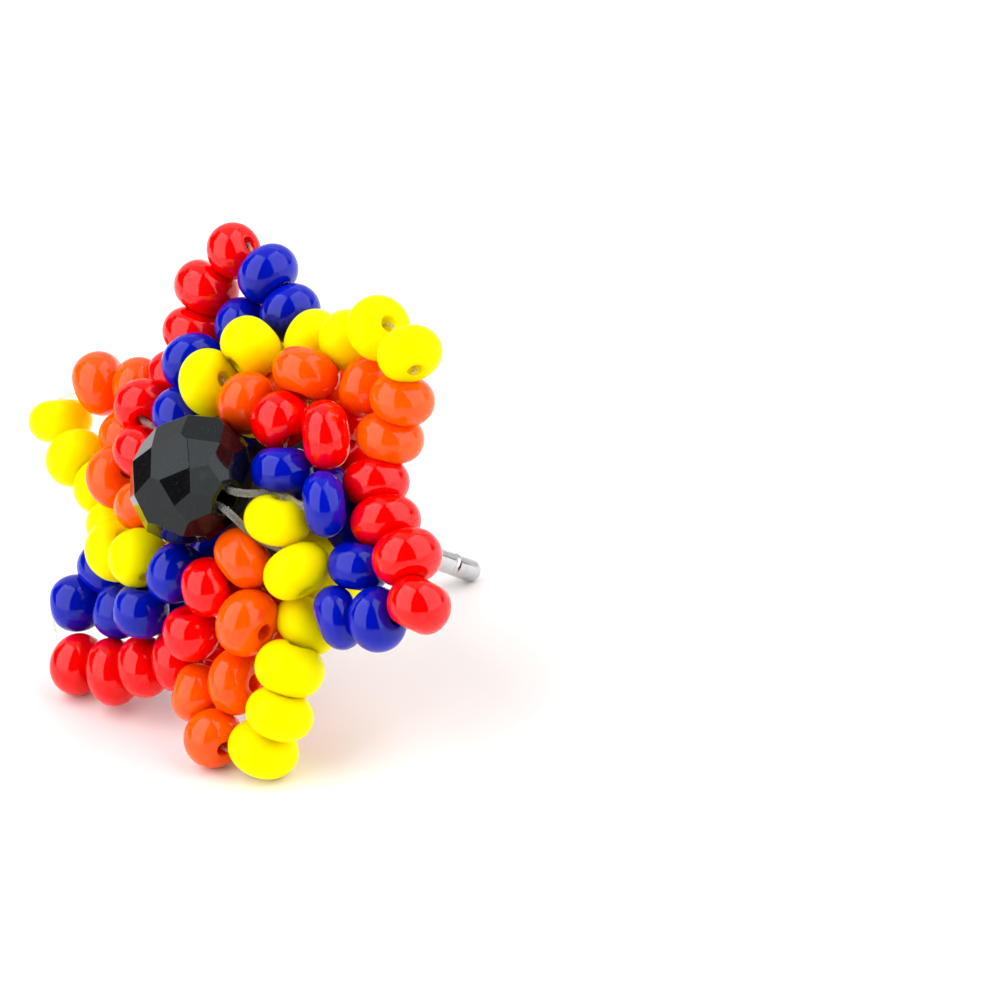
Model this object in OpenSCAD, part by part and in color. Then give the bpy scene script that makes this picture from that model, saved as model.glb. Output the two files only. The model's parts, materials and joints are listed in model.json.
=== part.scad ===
// Beaded stud earring: a six-armed pinwheel star of glass seed beads round a faceted
// bead, on a flat pad with a straight ear post. It rests as it does by itself, on the
// tips of two arms and the end of its post. Sizes are in millimetres.
//
// The star is laid out flat first: its front faces +Z, its centre is at the origin, and
// the beads at the arms' tips are at height 0. The last section then sets it down.

/* [Seed beads] */
// Diameter of a seed bead
bead_d = 2.02; // [1.9:0.01:2.02]
// Length of a seed bead along its hole
bead_len = 1.35; // [1.2:0.01:1.35]
// Diameter of a seed bead's hole
bead_hole = 0.8; // [0.7:0.05:0.9]

/* [Faceted bead] */
// Diameter of the faceted bead across the facets beside its belt
stone_d = 4.22; // [4:0.02:4.24]
// Length of the faceted bead along its hole
stone_len = 3.5; // [3.3:0.05:3.6]
// Diameter of the faceted bead's hole
stone_hole = 1.0; // [0.9:0.05:1.1]
// Height of the faceted bead's centre in front of the arms' tips
stone_height = 3.2; // [3.2:0.05:3.4]
// Number of facets in each row
stone_facets = 8; // [6:1:10]

/* [Ear stud] */
// Diameter of the pad behind the beads
pad_d = 6; // [5:0.5:6]
// Thickness of the pad
pad_t = 0.6; // [0.5:0.1:0.8]
// Depth of the pad's front face behind the arms' tips
pad_depth = 1.6; // [1.6:0.05:1.8]
// Diameter of the ear post
post_d = 0.76; // [0.7:0.02:0.9]
// Depth of the post's end behind the arms' tips
post_depth = 11.97; // [11.97:0.01:12]
// Distance of the clutch groove's middle from the post's end
groove_back = 1.35; // [1.2:0.05:2]
// Depth of the clutch groove
groove_deep = 0.08; // [0.04:0.01:0.1]

/* [Thread] */
// Diameter of the clear thread
thread_d = 0.24; // [0.2:0.01:0.25]

/* [Resting pose] */
// Angle that the star leans back from lying flat on its back
lean = 53.1; // [53:0.1:53.2]
// Turn of the star in its own plane
spin = 28.3; // [28.2:0.1:28.4]

/* [Hidden] */

YELLOW = [0.98, 0.93, 0.05];
ORANGE = [0.98, 0.35, 0.03];
RED = [0.85, 0.05, 0.07];
BLUE = [0.07, 0.08, 0.62];
CLEAR = [0.88, 0.88, 0.85];

fine = 48;
arm_count = 6;
first_tip = 27.4;
arm_step = 360 / arm_count;
bead_round = bead_len / 2;
bead_core = (bead_d - bead_len) / 2;
post_r = post_d / 2;

// Columns of a bead's place in its arm: distance from the star's centre, angle from the
// arm's tip, anticlockwise from the front, and height in front of the tips
DIST = 0;
ANGLE = 1;
HEIGHT = 2;

// Light half of an arm. The edge beads run from the valley out to the tip.
LIGHT_RING = [3.5, 63.5, 1.95];
LIGHT_SECOND = [4.85, 47.5, 1.3];
LIGHT_EDGE = [[5.55, 32, -0.25], [6.6, 19, 0.1], [7.9, 11.5, 0.35], [9.1, 2, 0]];
LIGHT_BACK_RING = [3.3, 61.5, -0.2];
LIGHT_BACK = [4.45, 46, -1.7];

// Dark half of an arm. The edge beads run from the tip back to the valley.
DARK_RING = [3.1, 32.5, 1.75];
DARK_SECOND = [4.95, 17, 1.35];
DARK_THIRD = [6.15, 2, 0.25];
DARK_EDGE = [[7.95, -8, 0.25], [6.55, -15.5, 0.05]];
DARK_BACK_RING = [3, 31.5, -0.4];
DARK_BACK = [5.1, 12.5, -1.15];

// How far the sewn outline is off those places, clockwise from the upper right arm, in mm
// along the arm, across it and to the front: the second, third and fourth light edge beads
// and the bead at the tip
EDGE_SHIFT = [
    [[-0.15, -0.1, 0.05], [0.15, -0.05, 0.05], [-0.15, -0.2, 0.25], [-0.15, 0.15, -0.1]],
    [[-0.15, -0.05, -0.05], [0.05, -0.1, -0.05], [0.05, 0, 0.25], [-0.05, 0.15, -0.1]],
    [[0.05, 0.15, 0.15], [0.15, 0.35, 0.3], [-0.45, 0, 0.05], [0.15, -0.05, 0.15]],
    [[0.05, 0.2, 0], [-0.05, 0, -0.2], [0, 0, 0], [0.05, -0.05, 0.05]],
    [[0, 0, 0.05], [0, -0.05, 0.05], [0.1, 0.15, 0.1], [0.05, -0.15, 0.05]],
    [[0.05, 0.2, 0.1], [0.05, 0, -0.15], [-0.1, -0.1, 0.15], [-0.1, -0.05, 0.1]]
];

// Holes of the beads that lie inside an arm: angle from the arm's tip and slope to the front
LIGHT_SECOND_HOLE = [40, -37];
DARK_SECOND_HOLE = [38, -20];
DARK_THIRD_HOLE = [90, -15];
back_slope = 30;

// How each sewn arm departs from the even star, clockwise from the upper right. Columns:
// lift to the front, swing anticlockwise, twist about the arm, curl and bend of its outer
// part in degrees, then stretch and splay in percent
LIFT = 0;
SWING = 1;
TWIST = 2;
CURL = 3;
BEND = 4;
STRETCH = 5;
SPLAY = 6;
ARMS = [
    [3, -5, 6, -6, 9, 0, 1],
    [1, -1, -1, -2, -2, 3, -6],
    [-1, 2, -2, 4, -4, 3, 2],
    [0, 0, -2, -1, -5, -4, 9],
    [-2, 2, -4, 3, 1, 2, -5],
    [0, 1, 1, 3, 5, -7, 3]
];
UPPER_RIGHT = 0;
RIGHT = 1;
LOWER = 2;
LOWER_LEFT = 3;
UPPER_LEFT = 4;
TOP = 5;

// An arm turns about its root, and its shape changes over a short stretch beyond the ring
root = [3.4, 0, 1.2];
turn_from = 2.4;
turn_over = 2.2;
bend_from = 4.5;
bend_over = 4;

// The post and the faceted bead stand a little off the star's centre
post_at = [-0.15, 0.35];
stone_off = [0.36, -0.08];

function unit(v) = v / norm(v);
function turn_x(v, a) = [v.x, v.y * cos(a) - v.z * sin(a), v.y * sin(a) + v.z * cos(a)];
function turn_y(v, a) = [v.x * cos(a) + v.z * sin(a), v.y, v.z * cos(a) - v.x * sin(a)];
function turn_z(v, a) = [v.x * cos(a) - v.y * sin(a), v.x * sin(a) + v.y * cos(a), v.z];
function polar(dist, angle, height) = [dist * cos(angle), dist * sin(angle), height];
function direction(angle, slope) = polar(cos(slope), angle, sin(slope));
function tip_angle(arm) = first_tip - arm * arm_step;

// Where a bead of an arm is, with the arm's own lift, swing and other departures
function bead_at(place, arm) =
    let (
        shape = ARMS[arm],
        flat = polar(place[DIST], place[ANGLE], place[HEIGHT]),
        part = min(1, max(0, (flat.x - turn_from) / turn_over)),
        outer = max(0, flat.x - bend_from) / bend_over,
        along = flat.x + max(0, flat.x - root.x) * shape[STRETCH] / 100,
        across = flat.y * (1 + part * shape[SPLAY] / 100),
        from_root = [along, across, flat.z] - root,
        twisted = turn_x(from_root, shape[TWIST] * part),
        raised = turn_y(twisted, -shape[LIFT] * part - shape[BEND] * outer),
        swung = turn_z(raised, shape[SWING] * part + shape[CURL] * outer)
    )
    turn_z(root + swung, tip_angle(arm));

// The strings that run all the way round, bead by bead, clockwise
ARM_LIST = [for (arm = [0 : arm_count - 1]) arm];
RING = [for (arm = ARM_LIST) each [bead_at(LIGHT_RING, arm), bead_at(DARK_RING, arm)]];
BACK_RING = [
    for (arm = ARM_LIST) each [bead_at(LIGHT_BACK_RING, arm), bead_at(DARK_BACK_RING, arm)]
];
light_edge_beads = len(LIGHT_EDGE);
edge_beads = light_edge_beads + len(DARK_EDGE);
function edge_bead(i, arm) =
    let (shift = i == 0 || i > light_edge_beads ? [0, 0, 0] : EDGE_SHIFT[arm][i - 1])
    bead_at(concat(LIGHT_EDGE, DARK_EDGE)[i], arm) + turn_z(shift, tip_angle(arm));
EDGE = [for (arm = ARM_LIST) each [for (i = [0 : edge_beads - 1]) edge_bead(i, arm)]];

// A bead of a string that closes on itself is threaded towards its neighbours
function threaded(string, i) =
    let (n = len(string), to = string[(i + 1) % n] - string[(i + n - 1) % n])
    [string[i], unit(to)];
function inside(place, hole, arm) =
    [bead_at(place, arm), direction(tip_angle(arm) + hole[0], hole[1])];
function behind(place, arm) =
    let (at = bead_at(place, arm)) [at, direction(atan2(at.y, at.x), back_slope)];

// Each bead is its centre and the direction of its hole
function light_half(arm) = concat(
    [
        threaded(RING, 2 * arm),
        inside(LIGHT_SECOND, LIGHT_SECOND_HOLE, arm),
        threaded(BACK_RING, 2 * arm),
        behind(LIGHT_BACK, arm)
    ],
    [for (i = [0 : light_edge_beads - 1]) threaded(EDGE, arm * edge_beads + i)]
);
function dark_half(arm) = concat(
    [
        threaded(RING, 2 * arm + 1),
        inside(DARK_SECOND, DARK_SECOND_HOLE, arm),
        inside(DARK_THIRD, DARK_THIRD_HOLE, arm),
        threaded(BACK_RING, 2 * arm + 1),
        behind(DARK_BACK, arm)
    ],
    [for (i = [light_edge_beads : edge_beads - 1]) threaded(EDGE, arm * edge_beads + i)]
);

// Setting down: the lowest bead meets the floor, and the whole stands centred on the origin
ALL_BEADS = [for (arm = ARM_LIST) each concat(light_half(arm), dark_half(arm))];
function set_turned(v) = turn_x(turn_z(v, spin), lean);
function bead_reach(bead, way) =
    let (along = set_turned(bead[1]) * way)
    set_turned(bead[0]) * way + bead_round + bead_core * sqrt(1 - along * along);
post_end = set_turned([post_at.x, post_at.y, post_r - post_depth]);
function reach(way) =
    max(post_end * way + post_r, max([for (bead = ALL_BEADS) bead_reach(bead, way)]));
rest_shift = [
    (reach([-1, 0, 0]) - reach([1, 0, 0])) / 2,
    (reach([0, -1, 0]) - reach([0, 1, 0])) / 2,
    reach([0, 0, -1])
];

module set_down() {
    translate(rest_shift) rotate([lean, 0, 0]) rotate([0, 0, spin]) children();
}

module aim(way) {
    rotate([0, acos(way.z), atan2(way.y, way.x)]) children();
}

// One glass seed bead: a fat ring with a round outside and a straight hole
module seed_bead() {
    rotate_extrude($fn = fine) intersection() {
        translate([bead_core, 0]) circle(r = bead_round, $fn = fine);
        translate([bead_hole / 2, -bead_len]) square([bead_d, 2 * bead_len]);
    }
}

module seed_beads(beads) {
    set_down() for (bead = beads) translate(bead[0]) aim(bead[1]) seed_bead();
}

module upper_right_yellow() {
    color(YELLOW) seed_beads(light_half(UPPER_RIGHT));
}

module upper_right_orange() {
    color(ORANGE) seed_beads(dark_half(UPPER_RIGHT));
}

module right_red() {
    color(RED) seed_beads(light_half(RIGHT));
}

module right_blue() {
    color(BLUE) seed_beads(dark_half(RIGHT));
}

module lower_yellow() {
    color(YELLOW) seed_beads(light_half(LOWER));
}

module lower_orange() {
    color(ORANGE) seed_beads(dark_half(LOWER));
}

module lower_left_red() {
    color(RED) seed_beads(light_half(LOWER_LEFT));
}

module lower_left_blue() {
    color(BLUE) seed_beads(dark_half(LOWER_LEFT));
}

module upper_left_yellow() {
    color(YELLOW) seed_beads(light_half(UPPER_LEFT));
}

module upper_left_orange() {
    color(ORANGE) seed_beads(dark_half(UPPER_LEFT));
}

module top_red() {
    color(RED) seed_beads(light_half(TOP));
}

module top_blue() {
    color(BLUE) seed_beads(dark_half(TOP));
}

// Faceted bead: rows of facets from its belt to the two ends of the hole. Columns: slope
// of the row's facets from the belt, their distance from the centre as a part of the
// radius, and the row's turn in facets
FACET_ROWS = [
    [18, 1, 0.5], [-18, 1, 0],
    [41, 0.95, 0], [-41, 0.95, 0.5],
    [63, 0.885, 0.5], [-63, 0.885, 0]
];
stone_turn = 9;
stone_slope = -5;
stone_way = direction(tip_angle(RIGHT), stone_slope);
stone_at = [stone_off.x, stone_off.y, stone_height];

// The waste outside one facet
module facet_cut(row, i) {
    around = stone_turn + (i + row[2]) * 360 / stone_facets;
    rotate([0, 0, around]) rotate([0, -row[0], 0])
        translate([row[1] * stone_d / 2, -stone_d / 2, -stone_d / 2])
        cube([stone_d / 2, stone_d, stone_d]);
}

// The block with its first rows of facets cut
module cut_stone(rows) {
    block = 1.3 * stone_d;
    if (rows == 0)
        cube([block, block, stone_len], center = true);
    else difference() {
        cut_stone(rows - 1);
        for (i = [0 : stone_facets - 1]) facet_cut(FACET_ROWS[rows - 1], i);
    }
}

module faceted_bead() {
    color([0.03, 0.03, 0.04]) set_down() translate(stone_at) aim(stone_way) difference() {
        cut_stone(len(FACET_ROWS));
        cylinder(d = stone_hole, h = 2 * stone_len, center = true, $fn = fine);
    }
}

// Ear stud: a pad with a rounded rim, and a post with a round end and a shallow groove
// that the clutch snaps into, soldered together
pad_rim = pad_t / 2;
groove_round = 0.2;

module ear_stud() {
    post_len = post_depth - pad_depth - pad_rim - post_r;
    color([0.75, 0.75, 0.77]) set_down() translate([post_at.x, post_at.y, 0]) difference() {
        union() {
            translate([0, 0, -pad_depth - pad_rim]) rotate_extrude($fn = fine) {
                translate([pad_d / 2 - pad_rim, 0]) circle(r = pad_rim, $fn = fine);
                translate([0, -pad_rim]) square([pad_d / 2 - pad_rim, pad_t]);
            }
            translate([0, 0, post_r - post_depth]) {
                cylinder(r = post_r, h = post_len, $fn = fine);
                sphere(r = post_r, $fn = fine);
            }
        }
        translate([0, 0, groove_back - post_depth]) rotate_extrude($fn = fine)
            translate([post_r - groove_deep + groove_round, 0]) circle(r = groove_round, $fn = fine);
    }
}

// Clear thread: a round strand swept along its points. A closed strand joins end to end.
strand_sides = 8;

module strand(path, closed) {
    n = len(path);
    last = closed ? n - 1 : n - 2;
    rings = [
        for (i = [0 : n - 1])
        let (
            before = closed ? path[(i + n - 1) % n] : path[max(0, i - 1)],
            after = closed ? path[(i + 1) % n] : path[min(n - 1, i + 1)],
            way = unit(after - before),
            side = unit(cross(way, [0, 0, 1])),
            up = cross(side, way)
        )
        each [
            for (k = [0 : strand_sides - 1])
            let (a = k * 360 / strand_sides)
            path[i] + thread_d / 2 * (side * cos(a) + up * sin(a))
        ]
    ];
    walls = [
        for (i = [0 : last], k = [0 : strand_sides - 1])
        let (
            a = i * strand_sides,
            b = ((i + 1) % n) * strand_sides,
            k2 = (k + 1) % strand_sides
        )
        each [[a + k, b + k2, b + k], [a + k, a + k2, b + k2]]
    ];
    start = [for (k = [strand_sides - 1 : -1 : 0]) k];
    end = [for (k = [0 : strand_sides - 1]) (n - 1) * strand_sides + k];
    polyhedron(rings, closed ? walls : concat(walls, [start, end]));
}

// A thread passes through each bead and bends to the next one outside it, the further out
// the more it turns
function mouth(bead, next, end) =
    let (turn = norm(cross(bead[1], unit(next - bead[0]))))
    bead[0] + end * bead[1] * bead_len * (0.3 + 0.4 * turn);
function through(string) =
    let (n = len(string))
    [
        for (i = [0 : n - 1])
        let (bead = threaded(string, i))
        each [
            mouth(bead, string[(i + n - 1) % n], -1),
            mouth(bead, string[(i + 1) % n], 1)
        ]
    ];

module ring_thread() {
    color(CLEAR) set_down() {
        strand(through(RING), true);
        strand(through(BACK_RING), true);
    }
}

module edge_thread() {
    color(CLEAR) set_down() strand(through(EDGE), true);
}

// Two strands carry the faceted bead. Each leaves a bead of the second row, crosses the
// ring beside a dark bead, runs through the faceted bead and ends in the same way across
// the star.
strand_apart = 0.44;
over_ring = 0.8;
beside_dark = 0.58;

function crossing(light, dark) =
    RING[light] + (RING[dark] - RING[light]) * beside_dark + [0, 0, over_ring];
function stone_mouth(end, shift) =
    stone_at + stone_way * end * (stone_len / 2 + thread_d)
    + cross(direction(tip_angle(RIGHT), 0), [0, 0, 1]) * shift;
function leave(bead) = [
    bead[0] + bead[1] * 0.3 * bead_len,
    bead[0] - bead[1] * 0.35 * bead_len
];
function arrive(bead) = let (out = leave(bead)) [out[1], out[0]];
function carry(from, over_from, over_to, to, shift) = concat(
    leave(from),
    [over_from, stone_mouth(1, shift), stone_mouth(-1, shift), over_to],
    arrive(to)
);

module centre_thread() {
    right_bead = inside(DARK_SECOND, DARK_SECOND_HOLE, RIGHT);
    left_bead = inside(DARK_SECOND, DARK_SECOND_HOLE, UPPER_LEFT);
    lower_bead = inside(LIGHT_SECOND, LIGHT_SECOND_HOLE, LOWER);
    top_bead = inside(LIGHT_SECOND, LIGHT_SECOND_HOLE, TOP);
    right_over = crossing(2 * LOWER, 2 * RIGHT + 1);
    lower_over = crossing(2 * LOWER, 2 * LOWER + 1);
    top_over = crossing(2 * TOP, 2 * TOP + 1);
    left_over = crossing(2 * TOP, 2 * UPPER_LEFT + 1);
    color(CLEAR) set_down() {
        strand(carry(right_bead, right_over, top_over, top_bead, -strand_apart / 2), false);
        strand(carry(lower_bead, lower_over, left_over, left_bead, strand_apart / 2), false);
    }
}

upper_right_yellow();
upper_right_orange();
right_red();
right_blue();
lower_yellow();
lower_orange();
lower_left_red();
lower_left_blue();
upper_left_yellow();
upper_left_orange();
top_red();
top_blue();
faceted_bead();
ear_stud();
ring_thread();
edge_thread();
centre_thread();
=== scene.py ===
"""Beaded stud earring: glass seed beads sewn into a six-armed star, a cut glass bead, clear
thread, a steel ear stud and a plain studio, all built round the packed part."""

import json
import math
import random
from typing import NamedTuple

import bmesh
import bpy
from bpy.props import FloatProperty, FloatVectorProperty, IntProperty, PointerProperty
from mathutils import Matrix, Quaternion, Vector


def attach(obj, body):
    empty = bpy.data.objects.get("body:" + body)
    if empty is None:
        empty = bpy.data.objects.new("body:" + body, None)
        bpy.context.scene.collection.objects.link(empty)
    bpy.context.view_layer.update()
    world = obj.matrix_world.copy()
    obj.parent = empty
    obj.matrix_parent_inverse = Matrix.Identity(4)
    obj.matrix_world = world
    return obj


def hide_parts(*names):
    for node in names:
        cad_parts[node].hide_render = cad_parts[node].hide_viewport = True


bl_info = {
    "name": "Beaded stud earring",
    "version": (1, 0, 0),
    "blender": (4, 5, 0),
    "location": "View3D > Sidebar > Earring",
    "description": "Builds a star of sewn glass beads on an ear stud, and its studio",
    "category": "Add Mesh",
}

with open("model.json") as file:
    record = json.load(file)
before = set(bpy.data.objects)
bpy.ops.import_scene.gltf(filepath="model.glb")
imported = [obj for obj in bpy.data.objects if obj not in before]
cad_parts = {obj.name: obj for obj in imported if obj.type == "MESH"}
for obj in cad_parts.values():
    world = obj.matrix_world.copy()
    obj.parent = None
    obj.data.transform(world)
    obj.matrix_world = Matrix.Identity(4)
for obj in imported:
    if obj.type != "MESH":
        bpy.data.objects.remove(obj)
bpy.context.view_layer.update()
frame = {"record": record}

MM = 0.001
TINY = 0.001 * MM
TO_MM = Matrix.Diagonal((1 / MM, 1 / MM, 1 / MM, 1))

# The six sewn arms, clockwise from the upper right, with the nodes of their light and dark
# halves
ARM_NODES = (
    ("upper_right_yellow", "upper_right_orange"),
    ("right_red", "right_blue"),
    ("lower_yellow", "lower_orange"),
    ("lower_left_red", "lower_left_blue"),
    ("upper_left_yellow", "upper_left_orange"),
    ("top_red", "top_blue"),
)
UPPER_RIGHT, RIGHT, LOWER, LOWER_LEFT, UPPER_LEFT, TOP = range(6)
ARM_STEP = 60.0
FIRST_TIP = 27.4
SPIN = 28.3

# The sewn beads of each arm. The light half has its beads in the ring, in the second row, in
# the back ring, behind and four along the edge to the tip. The dark half has one in the ring,
# the second and third rows, the back ring, behind and two along the edge back to the valley.
# Each is its place in mm, the angle and slope of its hole in degrees, and its width and length
# in mm.
SEWN = (
    (
        (-0.03, 3.61, 1.98, -2, 5, 2.32, 1.48),
        (1.33, 4.74, 1.47, 56, -28, 2.18, 1.68),
        (-0.01, 3.33, -0.27, -1, 0, 2.16, 1.44),
        (0.97, 4.87, -1, 73, 30, 2.16, 1.44),
        (2.99, 4.97, 0.27, -32, -19, 2.15, 1.56),
        (4.91, 4.51, 0.66, -1, 3, 2.12, 1.56),
        (6.85, 4.44, 1.34, -1, 21, 2.25, 1.48),
        (8.48, 3.2, 1.61, -65, 4, 2.22, 1.48),
        (1.57, 2.65, 1.87, -29, -4, 2.15, 1.56),
        (3.84, 3.36, 1.51, 71, -6, 2.32, 1.56),
        (5.65, 2.83, 0.54, -25, -32, 2.08, 1.56),
        (1.51, 3.31, -0.01, -31, 0, 2.16, 1.44),
        (3.3, 3.3, -0.74, 40, 30, 2.16, 1.44),
        (7.51, 1.98, 0.82, -121, -15, 2.22, 1.56),
        (6.5, 0.98, 0.23, -117, -16, 2.32, 1.56),
    ),
    (
        (3.07, 1.78, 1.89, -62, -7, 2.02, 1.68),
        (4.86, 1.03, 1.6, 8, -38, 2.35, 1.56),
        (4.02, 1.8, -0.08, -62, 0, 2.16, 1.44),
        (3.55, 1.52, -1.91, 12, 30, 2.16, 1.44),
        (5.8, -0.41, 0.07, -89, -3, 2.25, 1.56),
        (6.23, -1.83, 0.03, -83, -2, 2.38, 1.56),
        (7.36, -3.31, 0.21, -76, -7, 2.38, 1.7),
        (7.84, -5.02, 0.09, -119, 5, 2.18, 1.73),
        (3.15, 0.06, 1.78, -100, -13, 2.15, 1.5),
        (4.77, -1.33, 1.48, 11, -38, 2.25, 1.4),
        (5.31, -3.28, 0.25, -109, -11, 2.15, 1.56),
        (3, -0.07, -0.4, -91, 0, 2.16, 1.44),
        (4.36, -1.47, -0.63, -22, 30, 2.16, 1.44),
        (6.07, -5.23, 0.14, 177, 2, 2.22, 1.56),
        (4.48, -4.93, 0.31, -156, 32, 2.22, 1.43),
    ),
    (
        (3.06, -1.69, 1.87, -117, -16, 2.28, 1.56),
        (3.45, -3.37, 1.27, -67, -18, 2.35, 1.56),
        (2.51, -1.58, -0.53, -121, 0, 2.16, 1.44),
        (2.75, -3.31, -1.32, -46, 30, 2.16, 1.44),
        (2.67, -4.76, -0.17, -139, 7, 2.28, 1.56),
        (2.44, -6.36, 0.36, -120, -8, 2.38, 1.72),
        (1.82, -7.76, 0.1, -126, -14, 2.32, 1.56),
        (0.51, -8.58, -0.61, -137, -21, 2.42, 1.56),
        (1.5, -2.71, 1.77, -145, 14, 2.18, 1.56),
        (1.32, -4.79, 1.26, -33, -7, 2.35, 1.66),
        (-0.06, -6.33, 0.18, -13, -8, 2.28, 1.48),
        (1.13, -3.15, -0.38, -151, 0, 2.16, 1.44),
        (0.61, -4.81, -1.13, -80, 30, 2.16, 1.44),
        (-1.19, -8.05, -0.02, 139, -7, 2.05, 1.6),
        (-1.76, -6.45, 0.22, 161, 39, 2.05, 1.56),
    ),
    (
        (0.1, -3.5, 1.91, -173, 19, 2.02, 1.6),
        (-1.18, -4.72, 1.25, -115, -37, 1.95, 1.68),
        (-0.38, -3.17, -0.54, 179, 0, 2.16, 1.44),
        (-2.16, -4.52, -1.49, -106, 30, 2.16, 1.44),
        (-2.89, -5.07, -0.01, -178, 26, 2.15, 1.56),
        (-4.43, -5.01, -0.07, -174, 20, 2.12, 1.56),
        (-5.98, -4.88, -0.26, -176, 21, 2.32, 1.56),
        (-7.55, -4.34, -0.3, 155, 10, 2.12, 1.56),
        (-1.54, -2.69, 1.77, 149, 22, 2.12, 1.56),
        (-3.42, -3.56, 1.28, -120, -25, 1.92, 1.68),
        (-5.35, -2.98, 0.22, 155, 32, 1.92, 1.56),
        (-1.4, -1.83, -0.01, 149, 0, 2.16, 1.44),
        (-4.1, -3.06, -0.9, -140, 30, 2.16, 1.44),
        (-7.4, -2.31, 0.03, 6, -27, 1.95, 1.68),
        (-6.2, -1.32, -0.03, 45, -1, 2.02, 1.56),
    ),
    (
        (-3.04, -1.94, 1.92, 118, 0, 2.05, 1.72),
        (-4.63, -1.24, 1.22, -159, -28, 2.18, 1.68),
        (-3, -1.54, -0.32, 119, 0, 2.16, 1.44),
        (-4.22, -0.96, -1.78, -167, 30, 2.16, 1.44),
        (-5.81, 0.19, -0.12, 90, -1, 2.15, 1.56),
        (-6.45, 1.64, -0.05, 133, 4, 2.08, 1.56),
        (-7.43, 2.71, 0.24, 124, 3, 2.12, 1.56),
        (-8.34, 4.21, 0.05, 83, 16, 2.18, 1.43),
        (-3.04, -0.07, 1.67, 88, 4, 2.08, 1.56),
        (-4.73, 1.32, 1.2, -175, -20, 2.18, 1.56),
        (-5.28, 3.08, 0.07, -127, -19, 2.02, 1.56),
        (-2.98, 0.07, -0.41, 89, 0, 2.16, 1.44),
        (-4.63, 1.84, -1.27, 158, 30, 2.16, 1.44),
        (-6.35, 5.1, 0.32, 20, -20, 2.22, 1.68),
        (-4.76, 4.71, 0.18, -2, -21, 2.08, 1.56),
    ),
    (
        (-3, 1.71, 1.9, 51, 9, 2.05, 1.56),
        (-3.43, 3.48, 1.36, 111, -27, 2.12, 1.48),
        (-2.83, 1.7, -0.2, 59, 0, 2.16, 1.44),
        (-3.1, 3.22, -1.68, 134, 30, 2.16, 1.44),
        (-3.16, 4.73, 0.11, 33, 2, 2.15, 1.56),
        (-2.23, 6.15, 0.32, 61, 14, 2.18, 1.56),
        (-1.55, 7.52, 0.53, 56, 1, 2.25, 1.66),
        (-0.27, 8.57, 0.65, 10, 3, 1.95, 1.48),
        (-1.5, 2.78, 1.75, 30, 0, 1.98, 1.56),
        (-1.3, 4.67, 1.38, 125, -20, 2.16, 1.44),
        (-0.04, 5.94, 0.31, 180, -7, 2.08, 1.56),
        (-1.45, 2.62, -0.4, 29, 0, 2.16, 1.44),
        (-1.06, 4.94, -1.19, 101, 30, 2.16, 1.44),
        (1.25, 7.51, 0.63, -50, -17, 2.18, 1.56),
        (1.88, 6.14, 0.18, -56, -13, 2.15, 1.56),
    ),
)
LIGHT_BEADS = 8
RING_BEADS = (0, 8)
BACK_RING_BEADS = (2, 11)
EDGE_BEADS = (4, 5, 6, 7, 13, 14)
SECOND_LIGHT, SECOND_DARK = 1, 9

# Where the faceted bead is, how its hole slopes in degrees, and the place on the ear post that
# the record's mount names
STONE_SPOT = Vector((0.36, -0.08, 3.2))
STONE_SLOPE = -5
POST_SPOT = Vector((-0.15, 0.35, -6.335))


class SewnBead(NamedTuple):
    """A bead's place, the direction of its hole, and its width and length, in mm."""

    place: Vector
    way: Vector
    wide: float
    long: float


def polar(distance, angle, height):
    """A point from its distance, its angle in degrees and its height."""
    angle = math.radians(angle)
    return Vector((distance * math.cos(angle), distance * math.sin(angle), height))


def direction(angle, slope):
    """A unit vector at an angle in the star's plane and a slope out of it."""
    slope = math.radians(slope)
    return polar(math.cos(slope), angle, math.sin(slope))


def tip_angle(arm):
    """The angle in degrees at which an arm points."""
    return FIRST_TIP - ARM_STEP * arm


def sewn(arm, index):
    """A bead of an arm, by its row in the table."""
    x, y, z, angle, slope, wide, long = SEWN[arm][index]
    return SewnBead(Vector((x, y, z)), direction(angle, slope), wide, long)


def string_of(indices):
    """The beads of a closed string, which takes the same ones from each arm."""
    return [sewn(arm, index) for arm in range(len(SEWN)) for index in indices]


RING = string_of(RING_BEADS)
BACK_RING = string_of(BACK_RING_BEADS)
EDGE = string_of(EDGE_BEADS)


def resting_pose():
    """The matrix from the star's frame in mm to the part's frame, read off the ear post."""
    post = next(m for m in frame["record"]["mounts"] if m["name"] == "ear_post")
    lean = (-Vector(post["axis"])).angle(Vector((0, 0, 1)))
    turn = Matrix.Rotation(lean, 4, "X") @ Matrix.Rotation(math.radians(SPIN), 4, "Z")
    pose = turn @ Matrix.Diagonal((MM, MM, MM, 1))
    return Matrix.Translation(Vector(post["pos_m"]) - (pose @ POST_SPOT)) @ pose


STAR = resting_pose()


# Node trees

# The sockets of a Mix node that blends colours, whose labels other sockets of it share
MIX_FACTOR, MIX_FIRST, MIX_SECOND = 0, 6, 7
MIX_RESULT = 2


class Value:
    """A socket that can be used in arithmetic, which adds Math nodes."""

    def __init__(self, recipe, socket):
        self.recipe = recipe
        self.socket = socket

    def math(self, operation, *values):
        """A Math node's result."""
        inputs = dict(enumerate(values))
        return self.recipe.node("ShaderNodeMath", {"operation": operation}, inputs)["Value"]

    def __add__(self, other):
        return self.math("ADD", self, other)

    def __radd__(self, other):
        return self.math("ADD", other, self)

    def __sub__(self, other):
        return self.math("SUBTRACT", self, other)

    def __rsub__(self, other):
        return self.math("SUBTRACT", other, self)

    def __mul__(self, other):
        return self.math("MULTIPLY", self, other)

    def __rmul__(self, other):
        return self.math("MULTIPLY", other, self)


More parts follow.
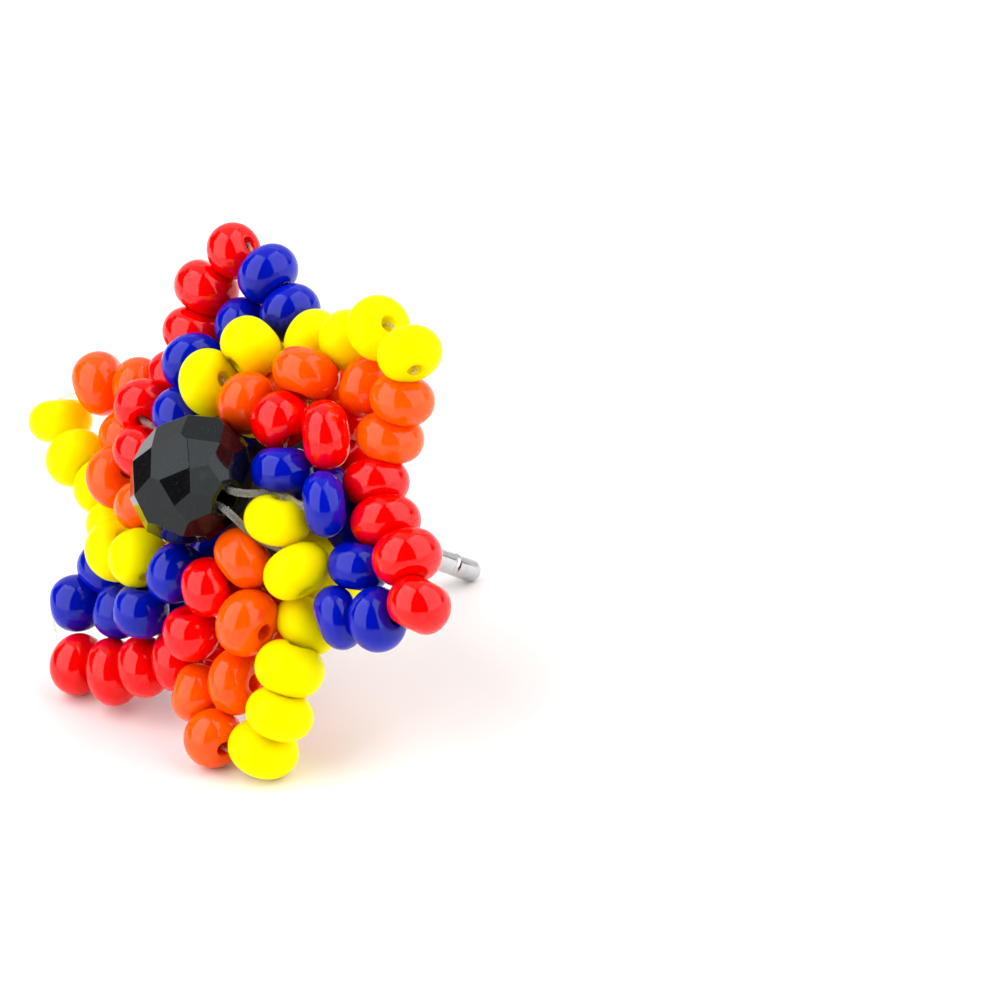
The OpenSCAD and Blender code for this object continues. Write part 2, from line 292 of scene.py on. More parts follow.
class Recipe:
    """A material and its node tree."""

    def __init__(self, name):
        self.material = bpy.data.materials.new(name)
        self.material.use_nodes = True
        self.tree = self.material.node_tree
        self.tree.nodes.clear()
        self.coords = self.node("ShaderNodeTexCoord")["Object"]

    def node(self, kind, settings=None, inputs=None):
        """Adds a node with its settings, then the values and links of its sockets."""
        node = self.tree.nodes.new(kind)
        for key, value in (settings or {}).items():
            setattr(node, key, value)
        for key, value in (inputs or {}).items():
            if isinstance(value, Value):
                self.tree.links.new(value.socket, node.inputs[key])
            else:
                node.inputs[key].default_value = value
        return {out.name: Value(self, out) for out in node.outputs if out.enabled}

    def noise(self, size, detail=2.0, roughness=0.5):
        """Soft noise from 0 to 1 whose patches are about the size given in metres."""
        inputs = {
            "Vector": self.coords,
            "Scale": 1 / size,
            "Detail": detail,
            "Roughness": roughness,
        }
        return self.node("ShaderNodeTexNoise", None, inputs)["Fac"]

    def ramp(self, value, low, high, to_low=0.0, to_high=1.0):
        """A value from low to high, stretched smoothly to another range."""
        inputs = {
            "Value": value,
            "From Min": low,
            "From Max": high,
            "To Min": to_low,
            "To Max": to_high,
        }
        settings = {"interpolation_type": "SMOOTHSTEP"}
        return self.node("ShaderNodeMapRange", settings, inputs)["Result"]

    def mix(self, factor, first, second):
        """One colour blended into another."""
        node = self.tree.nodes.new("ShaderNodeMix")
        node.data_type = "RGBA"
        inputs = {MIX_FACTOR: factor, MIX_FIRST: first, MIX_SECOND: second}
        for key, value in inputs.items():
            if isinstance(value, Value):
                self.tree.links.new(value.socket, node.inputs[key])
            elif key == MIX_FACTOR:
                node.inputs[key].default_value = value
            else:
                node.inputs[key].default_value = (*value[:3], 1.0)
        return Value(self, node.outputs[MIX_RESULT])

    def dot(self, first, second):
        """How far one vector reaches along another."""
        settings = {"operation": "DOT_PRODUCT"}
        return self.node("ShaderNodeVectorMath", settings, {0: first, 1: second})["Value"]

    def bump(self, height, depth, strength=1.0):
        """A normal from a height of 0 to 1 that stands for a depth in metres."""
        inputs = {"Height": height, "Distance": depth, "Strength": strength}
        return self.node("ShaderNodeBump", None, inputs)["Normal"]

    def finish(self, **sockets):
        """The surface, with its sockets named by their labels with _ for a space."""
        inputs = {key.replace("_", " "): value for key, value in sockets.items()}
        shader = self.node("ShaderNodeBsdfPrincipled", None, inputs)["BSDF"]
        self.node("ShaderNodeOutputMaterial", None, {"Surface": shader})
        return self.material


# Materials


def bead_glass(name, colour, shade, gloss, depth):
    """Opaque bead glass: its colour drifts a little, with a fire-polished, faintly wavy skin."""
    recipe = Recipe(name)
    drift = recipe.ramp(recipe.noise(1.1 * MM, 2.0), 0.3, 0.7)
    skin = recipe.noise(0.5 * MM, 3.0, 0.6)
    pits = recipe.ramp(recipe.noise(0.05 * MM, 1.0), 0.7, 0.85)
    height = recipe.noise(0.9 * MM, 1.0) + 0.02 * pits
    return recipe.finish(
        Base_Color=recipe.mix(0.35 * drift, colour, shade),
        Roughness=0.03 + 0.04 * skin + 0.25 * pits,
        IOR=1.5,
        Subsurface_Weight=1.0,
        Subsurface_Radius=(1.0, 1.0, 1.0),
        Subsurface_Scale=depth,
        Specular_IOR_Level=gloss,
        Normal=recipe.bump(height, 0.012 * MM),
    )


def cut_glass(name, colour):
    """Black cut glass: mirror-smooth facets with a few soft scuffs along the way."""
    recipe = Recipe(name)
    scuffs = recipe.ramp(recipe.noise(0.25 * MM, 4.0, 0.7), 0.55, 0.8)
    speck = recipe.ramp(recipe.noise(0.04 * MM, 1.0), 0.68, 0.8)
    return recipe.finish(
        Base_Color=recipe.mix(speck, colour, (0.08, 0.08, 0.085)),
        Roughness=0.03 + 0.12 * scuffs * speck,
        IOR=1.55,
        Specular_IOR_Level=0.27,
        Specular_Tint=(0.9, 1.0, 1.03, 1.0),
        Normal=recipe.bump(recipe.noise(0.7 * MM, 1.0), 0.002 * MM),
    )


# The height in mm, on the pad's rounded rim, in front of which the pad's face is painted dark:
# painted shade where the beads cover it
SHADED_FACE_HEIGHT = -1.75


def stud_steel(name, colour):
    """Tumbled steel with greyer, rougher patches, and painted shade on the face that the beads
    hide.
    """
    recipe = Recipe(name)
    patches = recipe.noise(0.6 * MM, 3.0, 0.6)
    metal = recipe.mix(recipe.ramp(patches, 0.4, 0.75), colour, (0.5, 0.5, 0.52))
    front = (STAR.to_3x3() @ Vector((0, 0, 1))).normalized()
    face = recipe.dot(recipe.coords, front) - (STAR @ Vector((0, 0, SHADED_FACE_HEIGHT))).dot(front)
    # Painted shade: in front of this height the pad turns dark, rough and not metallic
    painted_shade = recipe.ramp(face, 0.0, 0.1 * MM)
    return recipe.finish(
        Base_Color=recipe.mix(painted_shade, metal, (0.03, 0.03, 0.03)),
        Metallic=1.0 - painted_shade,
        Roughness=0.12 + 0.12 * patches + 0.4 * painted_shade,
        Normal=recipe.bump(recipe.noise(0.12 * MM, 2.0), 0.001 * MM),
    )


def clear_nylon(colour):
    """Clear nylon thread: see-through and a little cloudy. All threads share it."""
    name = "drawn_nylon"
    if name in bpy.data.materials:
        return bpy.data.materials[name]
    recipe = Recipe(name)
    cloud = recipe.noise(0.4 * MM, 2.0)
    return recipe.finish(
        Base_Color=recipe.mix(recipe.ramp(cloud, 0.3, 0.7), colour, (0.75, 0.74, 0.68)),
        Roughness=0.2 + 0.15 * cloud,
        IOR=1.4,
        Transmission_Weight=0.88,
    )


def floor_paper(name, colour):
    """Smooth white paper under the earring, with a very slight sheen."""
    recipe = Recipe(name)
    grain = recipe.noise(3 * MM, 3.0)
    return recipe.finish(
        Base_Color=recipe.mix(0.2 * grain, colour, (0.86, 0.86, 0.86)),
        Roughness=0.45 + 0.1 * grain,
        IOR=1.45,
    )


# Modelling


def deselect():
    """Leaves nothing selected, in object mode."""
    if bpy.context.object and bpy.context.object.mode != "OBJECT":
        bpy.ops.object.mode_set(mode="OBJECT")
    bpy.ops.object.select_all(action="DESELECT")


def start_edit(piece):
    """Opens a piece for editing with nothing selected, and returns its mesh."""
    bpy.context.view_layer.objects.active = piece
    piece.select_set(True)
    bpy.ops.object.mode_set(mode="EDIT")
    bpy.ops.mesh.select_all(action="DESELECT")
    return bmesh.from_edit_mesh(piece.data)


def end_edit():
    """Closes the piece that is being edited."""
    bpy.ops.object.mode_set(mode="OBJECT")


def select_vertices(mesh, test):
    """Selects the vertices that pass a test, in edit mode."""
    for vertex in mesh.verts:
        vertex.select = test(vertex.co)
    mesh.select_flush_mode()


def close_skin():
    """Merges doubled vertices and points the faces outwards, in edit mode."""
    bpy.ops.mesh.select_all(action="SELECT")
    bpy.ops.mesh.remove_doubles(threshold=TINY / 2)
    bpy.ops.mesh.normals_make_consistent(inside=False)


def apply_modifier(piece, kind, **settings):
    """Adds a modifier with its settings and applies it."""
    bpy.context.view_layer.objects.active = piece
    modifier = piece.modifiers.new(kind.title(), kind)
    for key, value in settings.items():
        setattr(modifier, key, value)
    bpy.ops.object.modifier_apply(modifier=modifier.name)


# Edges sharper than these angles in degrees stay sharp
BEAD_EDGE = 50
STUD_EDGE = 40
THREAD_EDGE = 60


def shade(piece, degrees):
    """Smooth shading that keeps the edges sharper than an angle."""
    deselect()
    piece.select_set(True)
    bpy.context.view_layer.objects.active = piece
    bpy.ops.object.shade_smooth_by_angle(angle=math.radians(degrees))


def fit(piece, name, material, slot, *nodes):
    """Names a finished piece, gives it its material and puts it on the part."""
    piece.name = name
    piece.data.name = name
    piece.data.materials.clear()
    piece.data.materials.append(material)
    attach(piece, "root")
    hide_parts(*nodes)


def copy_of(piece, matrix):
    """A copy with its own mesh, which the matrix places."""
    copy = piece.copy()
    copy.data = piece.data.copy()
    copy.data.transform(matrix)
    bpy.context.collection.objects.link(copy)
    return copy


def joined(pieces):
    """Several objects made into one."""
    deselect()
    for piece in pieces:
        piece.select_set(True)
    bpy.context.view_layer.objects.active = pieces[0]
    bpy.ops.object.join()
    return pieces[0]


def aimed(place, way, size):
    """The matrix that puts a shape made round the Z axis at a place, along a direction."""
    turn = Vector((0, 0, 1)).rotation_difference(way).to_matrix().to_4x4()
    return Matrix.Translation(place) @ turn @ Matrix.Diagonal((*size, 1))


# How finely a bead is divided: its round outline and its turn about the hole, the hole's wall,
# and the hole's rim
BEAD_STEPS = 44
WALL_CUTS = 3
RIM_SEGMENTS = 4


def one_seed_bead(beads):
    """One drilled seed bead round the Z axis: a round outline spun about its hole."""
    core = (beads.width - beads.length) / 2
    bore = beads.hole / 2
    deselect()
    bpy.ops.mesh.primitive_circle_add(
        vertices=BEAD_STEPS,
        radius=beads.length / 2,
        location=(core, 0, 0),
        rotation=(math.pi / 2, 0, 0),
    )
    bead = bpy.context.object
    bpy.ops.object.transform_apply(location=True, rotation=True, scale=True)
    start_edit(bead)
    bpy.ops.mesh.select_all(action="SELECT")
    bpy.ops.mesh.bisect(plane_co=(bore, 0, 0), plane_no=(1, 0, 0), clear_inner=True)
    mesh = bmesh.from_edit_mesh(bead.data)
    select_vertices(mesh, lambda co: co.x < bore + TINY)
    bpy.ops.mesh.edge_face_add()
    bpy.ops.mesh.subdivide(number_cuts=WALL_CUTS)
    mesh = bmesh.from_edit_mesh(bead.data)
    top = max(v.co.z for v in mesh.verts if v.co.x < bore + TINY)
    select_vertices(mesh, lambda co: co.x < bore + TINY and abs(co.z) > top - TINY)
    bpy.ops.mesh.bevel(offset=beads.mouth, segments=RIM_SEGMENTS, affect="VERTICES")
    bpy.ops.mesh.select_all(action="SELECT")
    bpy.ops.mesh.spin(
        steps=BEAD_STEPS, angle=2 * math.pi, center=(0, 0, 0), axis=(0, 0, 1)
    )
    close_skin()
    end_edit()
    return bead


def sewn_beads(bead, places, usual, chance):
    """One piece with a copy of the bead at each place, in its own width and length."""
    copies = []
    for at in places:
        turn = Matrix.Rotation(chance.uniform(0, 2 * math.pi), 4, "Z")
        size = Vector((at.wide / usual[0], at.wide / usual[0], at.long / usual[1])) / MM
        copies.append(copy_of(bead, STAR @ aimed(at.place, at.way, size) @ turn))
    return joined(copies)


class EarringBeads(bpy.types.PropertyGroup):
    """Sizes and colours of the seed beads."""

    width: FloatProperty(
        name="Width", description="Width of the usual bead", default=2.1 * MM, unit="LENGTH"
    )
    length: FloatProperty(
        name="Length", description="Length of the usual bead", default=1.4 * MM, unit="LENGTH"
    )
    hole: FloatProperty(
        name="Hole", description="Diameter of the hole", default=0.6 * MM, unit="LENGTH"
    )
    mouth: FloatProperty(
        name="Mouth", description="Rounding of the hole's rim", default=0.1 * MM, unit="LENGTH"
    )
    yellow: FloatVectorProperty(
        name="Yellow", description="Yellow glass", default=(1.0, 0.8, 0.0), subtype="COLOR"
    )
    orange: FloatVectorProperty(
        name="Orange", description="Orange glass", default=(1.0, 0.105, 0.0), subtype="COLOR"
    )
    red: FloatVectorProperty(
        name="Red", description="Red glass", default=(0.9, 0.0, 0.0), subtype="COLOR"
    )
    blue: FloatVectorProperty(
        name="Blue", description="Blue glass", default=(0.0, 0.006, 0.44), subtype="COLOR"
    )
    seed: IntProperty(name="Seed", description="Start of the small differences", default=7)


class EarringStone(bpy.types.PropertyGroup):
    """Sizes and colour of the faceted bead."""

    width: FloatProperty(
        name="Width", description="Diameter across facets", default=4.22 * MM, unit="LENGTH"
    )
    length: FloatProperty(
        name="Length", description="Length along the hole", default=3.5 * MM, unit="LENGTH"
    )
    hole: FloatProperty(
        name="Hole", description="Diameter of the hole", default=1.0 * MM, unit="LENGTH"
    )
    polish: FloatProperty(
        name="Polish", description="Rounding of the facets' edges", default=0.02 * MM, unit="LENGTH"
    )
    facets: IntProperty(name="Facets", description="Facets in each row", default=8)
    turn: FloatProperty(name="Turn", description="Turn about its hole, degrees", default=9.0)
    glass: FloatVectorProperty(
        name="Glass", description="Black glass", default=(0.004, 0.004, 0.005), subtype="COLOR"
    )


class EarringStud(bpy.types.PropertyGroup):
    """Sizes and colour of the pad and the ear post."""

    post: FloatProperty(
        name="Post", description="Diameter of the post", default=0.76 * MM, unit="LENGTH"
    )
    pad: FloatProperty(
        name="Pad", description="Diameter of the pad", default=6.0 * MM, unit="LENGTH"
    )
    pad_thick: FloatProperty(
        name="Pad thickness", description="Thickness of the pad", default=0.6 * MM, unit="LENGTH"
    )
    steel: FloatVectorProperty(
        name="Steel", description="Polished steel", default=(0.63, 0.63, 0.64), subtype="COLOR"
    )


class EarringThread(bpy.types.PropertyGroup):
    """Size and colour of the clear thread."""

    width: FloatProperty(
        name="Width", description="Diameter of the thread", default=0.11 * MM, unit="LENGTH"
    )
    centre: FloatProperty(
        name="Centre", description="Diameter of the centre strands", default=0.26 * MM,
        unit="LENGTH",
    )
    nylon: FloatVectorProperty(
        name="Nylon", description="Clear nylon", default=(0.92, 0.91, 0.86), subtype="COLOR"
    )


class EarringStudio(bpy.types.PropertyGroup):
    """Camera, lights and floor."""

    azimuth: FloatProperty(
        name="Azimuth", description="Camera's angle round the earring", default=51.4
    )
    elevation: FloatProperty(
        name="Elevation", description="Camera's angle above the floor", default=28.27
    )
    roll: FloatProperty(name="Roll", description="Camera's lean to one side", default=-5.62)
    distance: FloatProperty(
        name="Distance", description="Camera's distance", default=1.2, unit="LENGTH"
    )
    view_width: FloatProperty(
        name="View", description="Width that the picture shows", default=33.333 * MM,
        unit="LENGTH",
    )
    beside: FloatProperty(
        name="Beside", description="How far the star is left of the middle",
        default=8.457 * MM, unit="LENGTH",
    )
    paper: FloatVectorProperty(
        name="Paper", description="Floor", default=(0.9, 0.9, 0.9), subtype="COLOR"
    )
    softbox: FloatProperty(name="Softbox", description="Radiance of a softbox", default=2.48)
    surround: FloatProperty(name="Surround", description="Light of the room", default=0.05)


GROUPS = {
    "earring_beads": EarringBeads,
    "earring_stone": EarringStone,
    "earring_stud": EarringStud,
    "earring_thread": EarringThread,
    "earring_studio": EarringStudio,
}


# The shade that each colour of glass drifts to, the level of its reflections, and how far light
# goes into it
GLASS = {
    "yellow": ((1.0, 0.6, 0.0), 0.04, 1.2 * MM),
    "orange": ((0.9, 0.06, 0.0), 0.3, 0.5 * MM),
    "red": ((0.65, 0.0, 0.0), 0.34, 0.5 * MM),
    "blue": ((0.0, 0.003, 0.28), 0.3, 0.5 * MM),
}


class EARRING_OT_seed_beads(bpy.types.Operator):
    """Builds the seed beads of the six arms, one piece for each colour of an arm"""

    bl_idname = "earring.seed_beads"
    bl_label = "Seed Beads"

    def execute(self, context):
        beads = context.scene.earring_beads
        chance = random.Random(beads.seed)
        glass = {
            colour: bead_glass(colour + "_glass", getattr(beads, colour), *look)
            for colour, look in GLASS.items()
        }
        bead = one_seed_bead(beads)
        usual = (beads.width / MM, beads.length / MM)
        for arm, nodes in enumerate(ARM_NODES):
            places = [sewn(arm, index) for index in range(len(SEWN[arm]))]
            for node, half in zip(nodes, (places[:LIGHT_BEADS], places[LIGHT_BEADS:])):
                colour = node.rsplit("_", 1)[1]
                piece = sewn_beads(bead, half, usual, chance)
                shade(piece, BEAD_EDGE)
                fit(piece, node + "_beads", glass[colour], colour + "_glass", node)
        bpy.data.objects.remove(bead)
        return {"FINISHED"}


# The block and the drill are cylinders of this many sides, and facets meet at more than this
# angle in degrees
ROUND_SIDES = 48
FACET_ANGLE = 8

# Rows of facets: slope from the belt in degrees, distance from the centre as a part of the
# radius, and turn in facets
FACET_ROWS = (
    (18, 1, 0.5),
    (-18, 1, 0),
    (41, 0.95, 0),
    (-41, 0.95, 0.5),
    (63, 0.885, 0.5),
    (-63, 0.885, 0),
)


class EARRING_OT_faceted_bead(bpy.types.Operator):
    """Builds the black cut glass bead by cutting its facets from a block"""

    bl_idname = "earring.faceted_bead"
    bl_label = "Faceted Bead"

    def execute(self, context):
        stone = context.scene.earring_stone
        deselect()
        bpy.ops.mesh.primitive_cylinder_add(
            vertices=ROUND_SIDES, radius=0.7 * stone.width, depth=stone.length
        )
        bead = bpy.context.object
        start_edit(bead)
        for slope, reach, turn in FACET_ROWS:
            for facet in range(stone.facets):
                around = stone.turn + (facet + turn) * 360 / stone.facets
                way = direction(around, slope)
                bpy.ops.mesh.select_all(action="SELECT")
                bpy.ops.mesh.bisect(
                    plane_co=way * reach * stone.width / 2,
                    plane_no=way,
                    use_fill=True,
                    clear_outer=True,
                )
        close_skin()
        end_edit()
        bpy.ops.mesh.primitive_cylinder_add(
            vertices=ROUND_SIDES, radius=stone.hole / 2, depth=2 * stone.length
        )
        drill = bpy.context.object
        apply_modifier(bead, "BOOLEAN", operation="DIFFERENCE", object=drill)
        bpy.data.objects.remove(drill)
        apply_modifier(
            bead,
            "BEVEL",
            width=stone.polish,
            segments=2,
            limit_method="ANGLE",
            angle_limit=math.radians(FACET_ANGLE),
            harden_normals=True,
        )
        way = direction(tip_angle(RIGHT), STONE_SLOPE)
        upright = Matrix.Rotation(math.radians(tip_angle(RIGHT)), 4, "Z")
        tilt = Matrix.Rotation(math.acos(way.z), 4, "Y")
        bead.data.transform(STAR @ Matrix.Translation(STONE_SPOT) @ upright @ tilt @ TO_MM)
        fit(bead, "cut_bead", cut_glass("black_glass", stone.glass), "black_glass", "faceted_bead")
        return {"FINISHED"}


# How far the pad's front and the post's end are behind the star's plane, how far the groove's
# middle is from that end, the groove's half width and its depth, and the radius of the fillet
# between the post and the pad
PAD_FRONT = 1.6 * MM
POST_END = 11.97 * MM
GROOVE_FROM_END = 1.35 * MM
GROOVE_HALF = 0.14 * MM
GROOVE_DEEP = 0.08 * MM
FILLET = 0.18 * MM
# How finely the stud is divided: round it, and along its end, groove, fillet and rim
STUD_SIDES = 64
TIP_STEPS = 8
GROOVE_STEPS = 4
FILLET_STEPS = 5
RIM_STEPS = 8


def stud_rings(stud):
    """The depth and radius of each ring of the stud, from the post's round end to the pad."""
    post = stud.post / 2
    rings = []
    for step in range(1, TIP_STEPS + 1):
        angle = math.radians(90 * step / TIP_STEPS)
        rings.append((POST_END - post * (1 - math.cos(angle)), post * math.sin(angle)))
    for step in range(-GROOVE_STEPS, GROOVE_STEPS + 1):
        away = step * GROOVE_HALF / GROOVE_STEPS
        deep = GROOVE_DEEP * math.sqrt(max(0, 1 - (away / GROOVE_HALF) ** 2))
        rings.append((POST_END - GROOVE_FROM_END + away, post - deep))
    rings.sort(key=lambda ring: -ring[0])
    back = PAD_FRONT + stud.pad_thick
    for step in range(FILLET_STEPS + 1):
        angle = math.radians(90 * step / FILLET_STEPS)
        depth = back + FILLET * (1 - math.sin(angle))
        rings.append((depth, post + FILLET * (1 - math.cos(angle))))
    rim = stud.pad_thick / 2
    for step in range(RIM_STEPS + 1):
        angle = math.radians(90 - 180 * step / RIM_STEPS)
        depth = PAD_FRONT + rim + rim * math.sin(angle)
        rings.append((depth, stud.pad / 2 - rim + rim * math.cos(angle)))
    return rings


class EARRING_OT_ear_stud(bpy.types.Operator):
    """Builds the pad and the post, drawn out ring by ring from the post's end"""

    bl_idname = "earring.ear_stud"
    bl_label = "Ear Stud"

    def execute(self, context):
        stud = context.scene.earring_stud
        rings = stud_rings(stud)
        deselect()
        bpy.ops.mesh.primitive_circle_add(
            vertices=STUD_SIDES,
            radius=rings[0][1],
            location=(0, 0, -rings[0][0]),
            fill_type="TRIFAN",
        )
        piece = bpy.context.object
        bpy.ops.object.transform_apply(location=True, rotation=True, scale=True)
        mesh = start_edit(piece)
        select_vertices(mesh, lambda co: co.xy.length < TINY)
        bpy.ops.transform.translate(value=(0, 0, rings[0][0] - POST_END))
        mesh = bmesh.from_edit_mesh(piece.data)
        select_vertices(mesh, lambda co: co.xy.length > TINY)
        for (depth, radius), (next_depth, next_radius) in zip(rings, rings[1:]):
            bpy.ops.mesh.extrude_edges_move(
                TRANSFORM_OT_translate={"value": (0, 0, depth - next_depth)}
            )
            ratio = next_radius / radius
            bpy.ops.transform.resize(
                value=(ratio, ratio, 1), center_override=(0, 0, -next_depth)
            )
        bpy.ops.mesh.edge_face_add()
        close_skin()
        end_edit()
        spot = Matrix.Translation(Vector((POST_SPOT.x, POST_SPOT.y, 0)))
        piece.data.transform(STAR @ spot @ TO_MM)
        shade(piece, STUD_EDGE)
        fit(piece, "pad_and_post", stud_steel("steel", stud.steel), "steel", "ear_stud")
        return {"FINISHED"}


# How far inside a bead's end a thread starts to turn, and how much further out it turns where
# the next bead is at a right angle, in mm
TURN_INSIDE = 0.25
TURN_OUTWARD = 0.3


def mouth(bead, neighbour, end):
    """Where a thread turns at one end of a bead's hole, on its way to a neighbour."""
    turn = bead.way.cross((neighbour.place - bead.place).normalized()).length
    return bead.place + end * bead.way * (bead.long / 2 - TURN_INSIDE + TURN_OUTWARD * turn)


def through(string):
    """The points of a closed thread through all the beads of a string."""
    points = []
    for index, bead in enumerate(string):
        points.append(mouth(bead, string[index - 1], -1))
        points.append(mouth(bead, string[(index + 1) % len(string)], 1))
    return points


# How finely a thread is divided, round it and between the points that it passes
TAUT = (2, 5)
CURVED = (5, 10)


def thread_tube(points, width, closed):
    """A round thread as a mesh, taut where it closes on itself and curved where it doesn't."""
    curve = bpy.data.curves.new("thread", "CURVE")
    curve.dimensions = "3D"
    curve.bevel_depth = width / 2
    curve.bevel_resolution, curve.resolution_u = TAUT if closed else CURVED
    curve.use_fill_caps = not closed
    spline = curve.splines.new("BEZIER")
    spline.bezier_points.add(len(points) - 1)
    spline.use_cyclic_u = closed
    for knot, point in zip(spline.bezier_points, points):
        knot.co = STAR @ Vector(point)
        knot.handle_left_type = knot.handle_right_type = "VECTOR" if closed else "AUTO"
    tube = bpy.data.objects.new("thread", curve)
    bpy.context.collection.objects.link(tube)
    deselect()
    tube.select_set(True)
    bpy.context.view_layer.objects.active = tube
    bpy.ops.object.convert(target="MESH")
    tube = bpy.context.object
    start_edit(tube)
    close_skin()
    end_edit()
    return tube


class EARRING_OT_string_threads(bpy.types.Operator):
    """Builds the threads through the two rings and through the beads of the outline"""

    bl_idname = "earring.string_threads"
    bl_label = "String Threads"

    def execute(self, context):
        thread = context.scene.earring_thread
        nylon = clear_nylon(thread.nylon)
        rings = [
            thread_tube(through(string), thread.width, True)
            for string in (RING, BACK_RING)
        ]
        ring = joined(rings)
        shade(ring, THREAD_EDGE)
        fit(ring, "ring_threads", nylon, "clear_thread", "ring_thread")
        edge = thread_tube(through(EDGE), thread.width, True)
        shade(edge, THREAD_EDGE)
        fit(edge, "edge_threads", nylon, "clear_thread", "edge_thread")
        return {"FINISHED"}


# The two centre strands, in mm: how far each is from the middle of the faceted bead's hole, how
# far out of the hole and how far inside it they bend, and how high over the middles of the
# ring's beads they cross the ring, each on the near side and both on the far side
STRAND_SHIFT = 0.33
BEND_OUTSIDE = 0.1
BEND_INSIDE = 0.3
FIRST_OVER = 0.1
SECOND_OVER = 0.2
FAR_OVER = -0.45
# Where each ends inside a bead of the second row and where it comes out, from the bead's middle,
# as parts of the bead's length
END_PART = 0.3
EXIT_PART = 0.4


def leave(bead):
    """The end of a centre strand inside a bead, and where it comes out."""
    return [
        bead.place + bead.way * END_PART * bead.long,
        bead.place - bead.way * EXIT_PART * bead.long,
    ]


def crossing(first, second, height):
    """Where a centre strand crosses the ring, at a height between two of its beads."""
    return RING[first].place.lerp(RING[second].place, 0.5) + Vector((0, 0, height))


def through_stone(shift, stone):
    """The points of a centre strand straight through the faceted bead's hole."""
    way = direction(tip_angle(RIGHT), STONE_SLOPE)
    across = direction(tip_angle(RIGHT) - 90, 0)
    middle = STONE_SPOT + across * shift
    half = stone.length / 2 / MM
    outside = half + BEND_OUTSIDE
    inside = half - BEND_INSIDE
    return [middle + way * reach for reach in (outside, inside, -inside, -outside)]


class EARRING_OT_centre_strands(bpy.types.Operator):
    """Builds the two clear strands that carry the faceted bead"""

    bl_idname = "earring.centre_strands"
    bl_label = "Centre Strands"

    def execute(self, context):
        thread = context.scene.earring_thread
        stone = context.scene.earring_stone
        right = sewn(RIGHT, SECOND_DARK)
        left = sewn(UPPER_LEFT, SECOND_DARK)
        lower = sewn(LOWER, SECOND_LIGHT)
        top = sewn(TOP, SECOND_LIGHT)
        first = [
            *leave(right),
            crossing(2 * LOWER, 2 * RIGHT + 1, FIRST_OVER),
            *through_stone(-STRAND_SHIFT, stone),
            crossing(2 * TOP, 2 * TOP + 1, FAR_OVER),
            *reversed(leave(top)),
        ]
        second = [
            *leave(lower),
            crossing(2 * LOWER, 2 * LOWER + 1, SECOND_OVER),
            *through_stone(STRAND_SHIFT, stone),
            crossing(2 * TOP, 2 * UPPER_LEFT + 1, FAR_OVER),
            *reversed(leave(left)),
        ]
        strands = [thread_tube(points, thread.centre, False) for points in (first, second)]
        piece = joined(strands)
        shade(piece, THREAD_EDGE)
        nylon = clear_nylon(thread.nylon)
        fit(piece, "centre_strands", nylon, "clear_thread", "centre_thread")
        return {"FINISHED"}


# The two softboxes beside the camera, the grey wall and the grey ceiling behind the earring:
# angle round the earring, angle above the floor and lean in degrees, width and height as a part
# of the distance, and brightness as a part of a softbox's
PANELS = (
    (-20, 34, 25, 1.27, 2.2, 1.1),
    (123, 34, -25, 1.27, 2.2, 0.97),
    (-145, 20, 0, 2.6, 0.8, 0.3),
    (-129, 62, 0, 1.2, 1.0, 0.27),
)
LIGHT_DISTANCE = 0.8
FLOOR_SIZE = 4.0
FLOOR_CUTS = 7


def standpoint(azimuth, elevation):
    """The direction from the earring towards a camera or light, as the frame counts it."""
    azimuth, elevation = math.radians(azimuth), math.radians(elevation)
    level = math.cos(elevation)
    return Vector((math.sin(azimuth) * level, -math.cos(azimuth) * level, math.sin(elevation)))


def facing(back):
    """The turn of a camera or light that looks against a direction."""
    return (-back).to_track_quat("-Z", "Y")


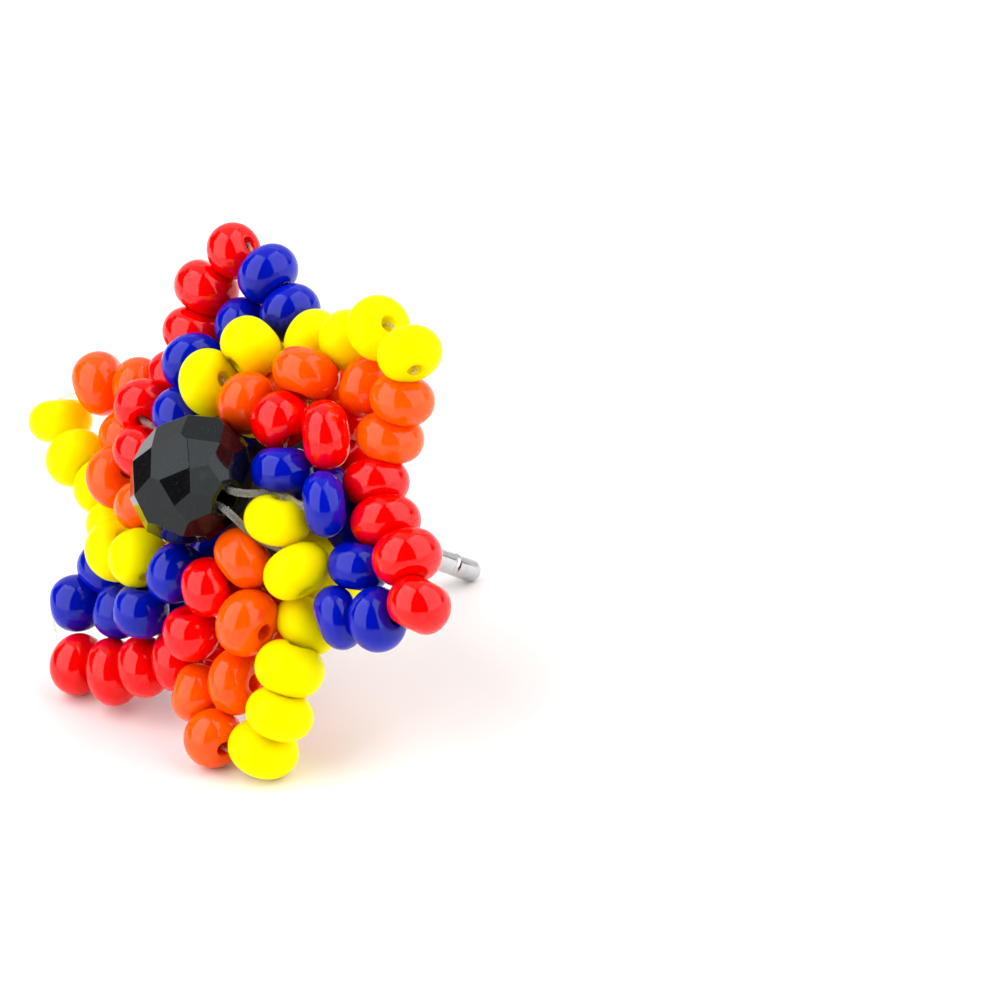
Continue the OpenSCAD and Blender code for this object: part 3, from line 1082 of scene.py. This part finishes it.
class EARRING_OT_studio(bpy.types.Operator):
    """Sets up the floor, the softboxes, the room's light and the camera"""

    bl_idname = "earring.studio"
    bl_label = "Studio"

    def execute(self, context):
        studio = context.scene.earring_studio
        deselect()
        bpy.ops.mesh.primitive_plane_add(size=FLOOR_SIZE)
        floor = bpy.context.object
        start_edit(floor)
        bpy.ops.mesh.select_all(action="SELECT")
        bpy.ops.mesh.subdivide(number_cuts=FLOOR_CUTS)
        end_edit()
        floor.name = "floor"
        floor.data.materials.append(floor_paper("paper", studio.paper))

        for number, (azimuth, elevation, lean, wide, high, bright) in enumerate(PANELS, 1):
            back = standpoint(azimuth, elevation)
            bpy.ops.object.light_add(type="AREA", location=back * LIGHT_DISTANCE)
            lamp = bpy.context.object
            lamp.name = f"panel_{number}"
            lamp.rotation_mode = "QUATERNION"
            lamp.rotation_quaternion = facing(back) @ Quaternion((0, 0, 1), math.radians(lean))
            lamp.data.shape = "RECTANGLE"
            lamp.data.size = wide * LIGHT_DISTANCE
            lamp.data.size_y = high * LIGHT_DISTANCE
            area = lamp.data.size * lamp.data.size_y
            lamp.data.energy = studio.softbox * bright * math.pi * area

        room = bpy.data.worlds.new("room")
        room.use_nodes = True
        room.node_tree.nodes["Background"].inputs["Color"].default_value = (1, 1, 1, 1)
        room.node_tree.nodes["Background"].inputs["Strength"].default_value = studio.surround
        context.scene.world = room
        context.scene.view_settings.view_transform = "Standard"

        back = standpoint(studio.azimuth, studio.elevation)
        turn = facing(back) @ Quaternion((0, 0, 1), math.radians(studio.roll))
        aim = STAR.translation + turn @ Vector((studio.beside, 0, 0))
        bpy.ops.object.camera_add(location=aim + back * studio.distance)
        camera = bpy.context.object
        camera.rotation_mode = "QUATERNION"
        camera.rotation_quaternion = turn
        camera.data.lens = camera.data.sensor_width * studio.distance / studio.view_width
        camera.data.clip_start = 0.01
        context.scene.camera = camera
        return {"FINISHED"}


STEPS = (
    EARRING_OT_studio,
    EARRING_OT_seed_beads,
    EARRING_OT_faceted_bead,
    EARRING_OT_ear_stud,
    EARRING_OT_string_threads,
    EARRING_OT_centre_strands,
)


class EARRING_PT_build(bpy.types.Panel):
    """Lists the steps that build the earring, with the sizes that each one uses"""

    bl_idname = "EARRING_PT_build"
    bl_label = "Beaded Earring"
    bl_space_type = "VIEW_3D"
    bl_region_type = "UI"
    bl_category = "Earring"

    def draw(self, context):
        for step in STEPS:
            self.layout.operator(step.bl_idname)
        for name, group in GROUPS.items():
            box = self.layout.box()
            box.label(text=group.__doc__)
            for key in group.__annotations__:
                box.prop(getattr(context.scene, name), key)


CLASSES = (*GROUPS.values(), *STEPS, EARRING_PT_build)


def register():
    """Adds the add-on's classes and its settings on the scene."""
    for cls in CLASSES:
        bpy.utils.register_class(cls)
    for name, group in GROUPS.items():
        setattr(bpy.types.Scene, name, PointerProperty(type=group))


def unregister():
    """Takes the settings and the classes away again."""
    for name in GROUPS:
        delattr(bpy.types.Scene, name)
    for cls in reversed(CLASSES):
        bpy.utils.unregister_class(cls)


def main():
    """Builds the whole scene."""
    register()
    bpy.ops.earring.studio()
    bpy.ops.earring.seed_beads()
    bpy.ops.earring.faceted_bead()
    bpy.ops.earring.ear_stud()
    bpy.ops.earring.string_threads()
    bpy.ops.earring.centre_strands()


if __name__ == "__main__":
    main()
